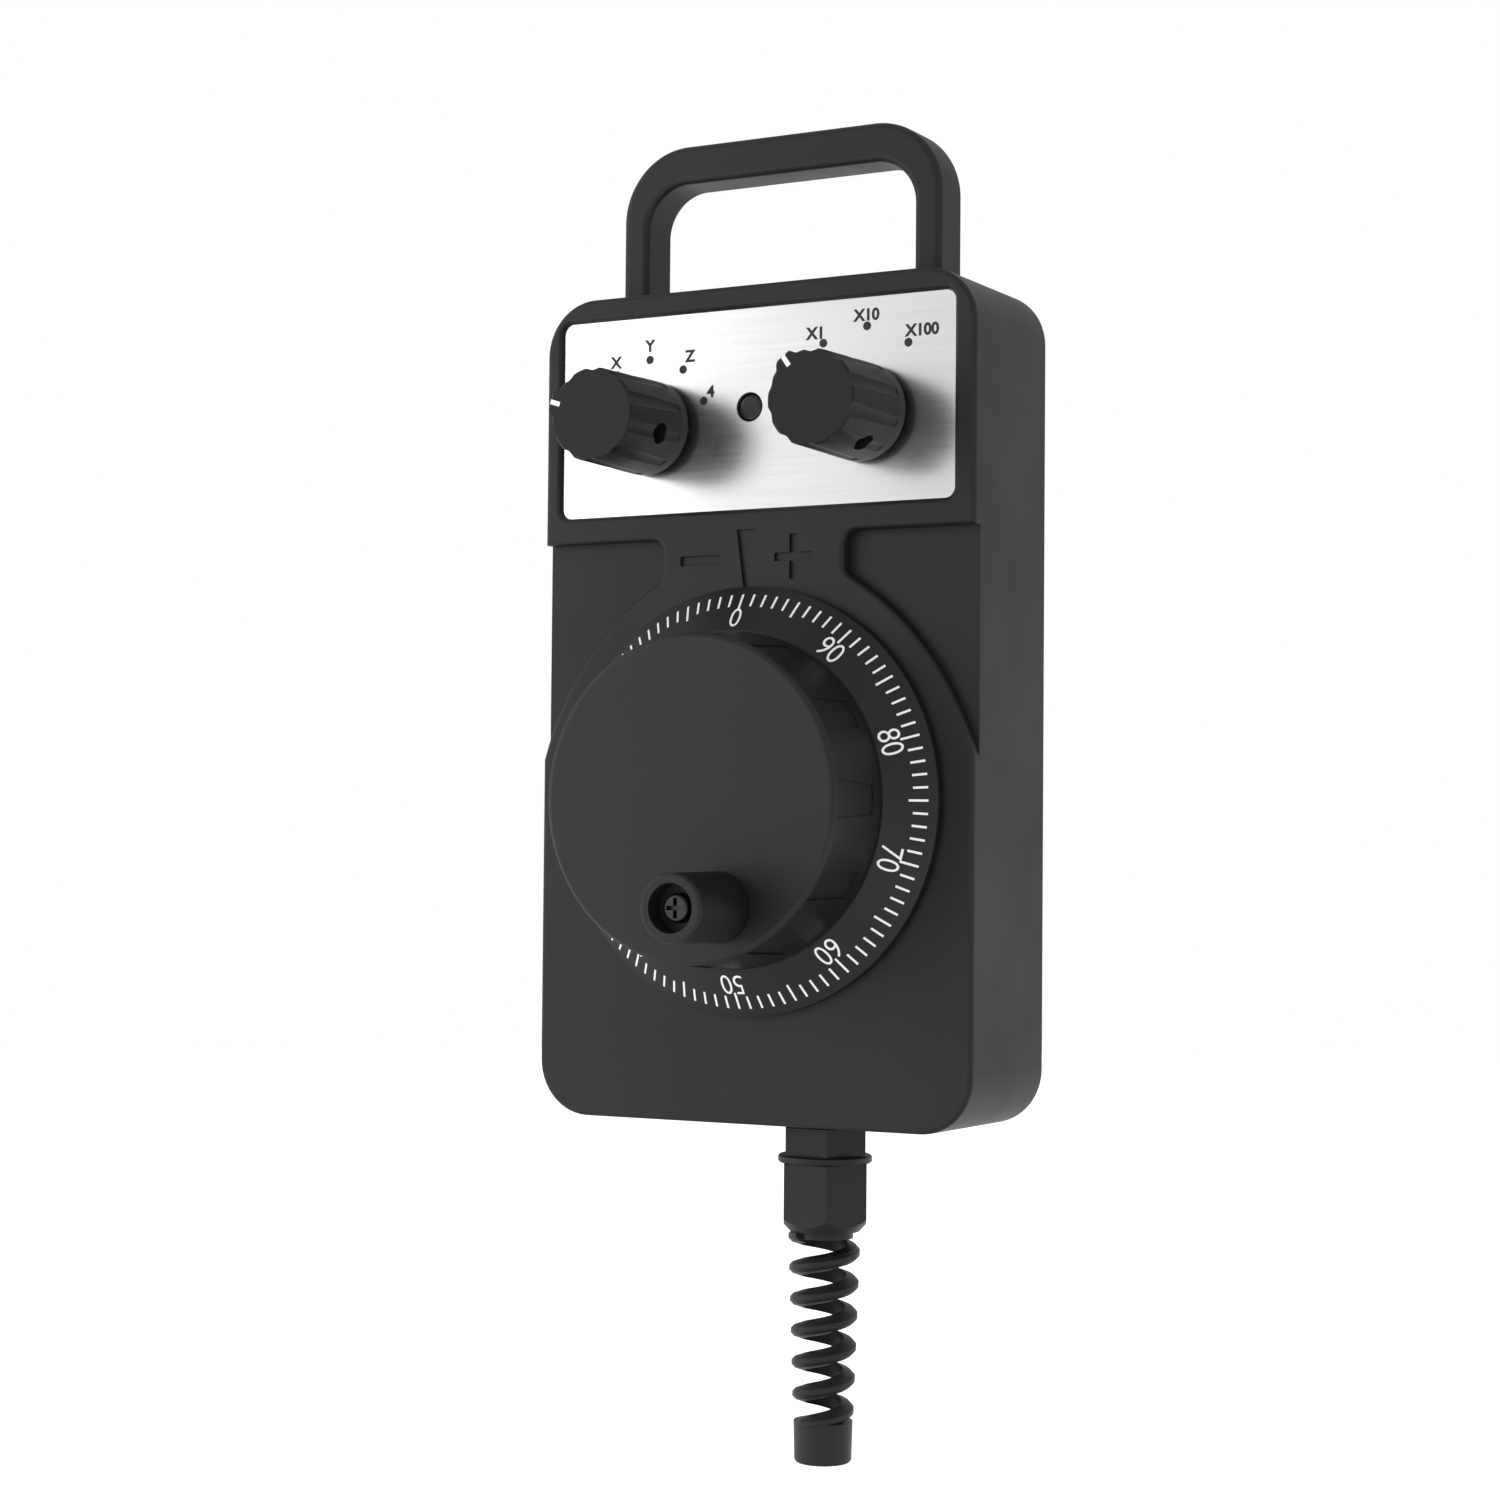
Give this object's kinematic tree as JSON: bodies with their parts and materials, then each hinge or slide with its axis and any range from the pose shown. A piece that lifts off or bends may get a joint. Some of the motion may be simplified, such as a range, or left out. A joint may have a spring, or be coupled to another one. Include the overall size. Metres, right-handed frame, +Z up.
{
  "type": "handwheel jog pendant",
  "caption": "Hand-held jog pendant: flat case with carry handle, graduated handwheel with crank grip, two rotary selectors, lamp and spiral cable gland.",
  "frame": {"origin": "middle of the underside of the handle's bar, where the pendant hangs on a hook", "axes": "+Z up along the case's length, +Y towards the case's back, +X to the operator's right; the controls face -Y"},
  "size_m": [0.092, 0.0717, 0.2519],
  "materials": {
    "case_plastic": "moulded ABS, fine spark texture, satin black",
    "dial_plastic": "moulded ABS, satin black",
    "knob_plastic": "moulded phenolic, satin black",
    "white_inlay": "white filled line",
    "label_silver": "satin anodised sheet, very fine brushing",
    "lamp_resin": "smoked epoxy, unlit",
    "gland_nylon": "black polyamide",
    "rubber": "black nitrile",
    "black_steel": "black oxide",
    "zinc_steel": "zinc plated",
    "cast_zinc": "die cast",
    "switch_phenolic": "brown phenolic",
    "pin_brass": "tinned brass and sintered bronze",
    "board_green": "solder mask on glass epoxy",
    "encoder_plastic": "glass filled polyamide",
    "magnet_grey": "sintered ferrite",
    "washer_nylon": "black nylon",
    "ribbon_grey": "PVC ribbon"
  },
  "bodies": {
    "case": {"axis_switch_base": "switch_phenolic", "axis_switch_body": "cast_zinc", "axis_switch_nut": "zinc_steel", "axis_switch_terminals": "pin_brass", "axis_switch_washer": "zinc_steel", "carry_handle": "case_plastic", "case_gasket": "rubber", "click_magnet": "magnet_grey", "cover_screws": "black_steel", "encoder_board": "board_green", "encoder_cover": "encoder_plastic", "encoder_cover_screws": "zinc_steel", "encoder_housing": "encoder_plastic", "encoder_screws": "zinc_steel", "front_shell": "case_plastic", "gland_body": "gland_nylon", "gland_locknut": "gland_nylon", "gland_nut": "gland_nylon", "gland_seal": "rubber", "gland_washer": "rubber", "handle_screws": "zinc_steel", "label_plate": "label_silver", "led_lamp": "lamp_resin", "led_leads": "pin_brass", "link_ribbon": "ribbon_grey", "multiplier_switch_base": "switch_phenolic", "multiplier_switch_body": "cast_zinc", "multiplier_switch_nut": "zinc_steel", "multiplier_switch_terminals": "pin_brass", "multiplier_switch_washer": "zinc_steel", "photo_sensor": "encoder_plastic", "rear_cover": "case_plastic", "shaft_bushes": "pin_brass", "strain_relief": "gland_nylon", "switch_board": "board_green", "terminal_block": "encoder_plastic", "terminal_screws": "zinc_steel"},
    "handwheel": {"handwheel": "dial_plastic", "dial_ring": "dial_plastic", "dial_screws": "zinc_steel", "wheel_set_screws": "black_steel", "encoder_shaft": "zinc_steel", "shaft_clip": "zinc_steel", "code_disc": "zinc_steel", "disc_hub": "pin_brass", "click_rotor": "zinc_steel", "crank_washer": "washer_nylon", "crank_screw": "black_steel"},
    "crank_grip": {"crank_grip": "dial_plastic"},
    "axis_selector": {"axis_knob": "knob_plastic", "axis_knob_index": "white_inlay", "axis_knob_screw": "black_steel", "axis_switch_shaft": "cast_zinc", "axis_switch_rotor": "switch_phenolic"},
    "multiplier_selector": {"multiplier_knob": "knob_plastic", "multiplier_knob_index": "white_inlay", "multiplier_knob_screw": "black_steel", "multiplier_switch_shaft": "cast_zinc", "multiplier_switch_rotor": "switch_phenolic"}
  },
  "joints": [
    {"name": "handwheel_spin", "type": "hinge", "parent": "case", "child": "handwheel", "pos_m": [0, -0.0212, -0.1203], "axis": [0, 1, 0], "continuous": true},
    {"name": "crank_grip_spin", "type": "hinge", "parent": "handwheel", "child": "crank_grip", "pos_m": [0.0066, -0.0439, -0.13975], "axis": [0, 1, 0], "continuous": true},
    {"name": "axis_selector_turn", "type": "hinge", "parent": "case", "child": "axis_selector", "pos_m": [-0.0224, -0.0139, -0.04895], "axis": [0, 1, 0], "range_deg": [0, 144]},
    {"name": "multiplier_selector_turn", "type": "hinge", "parent": "case", "child": "multiplier_selector", "pos_m": [0.0235, -0.0139, -0.04895], "axis": [0, 1, 0], "range_deg": [0, 72]}
  ]
}
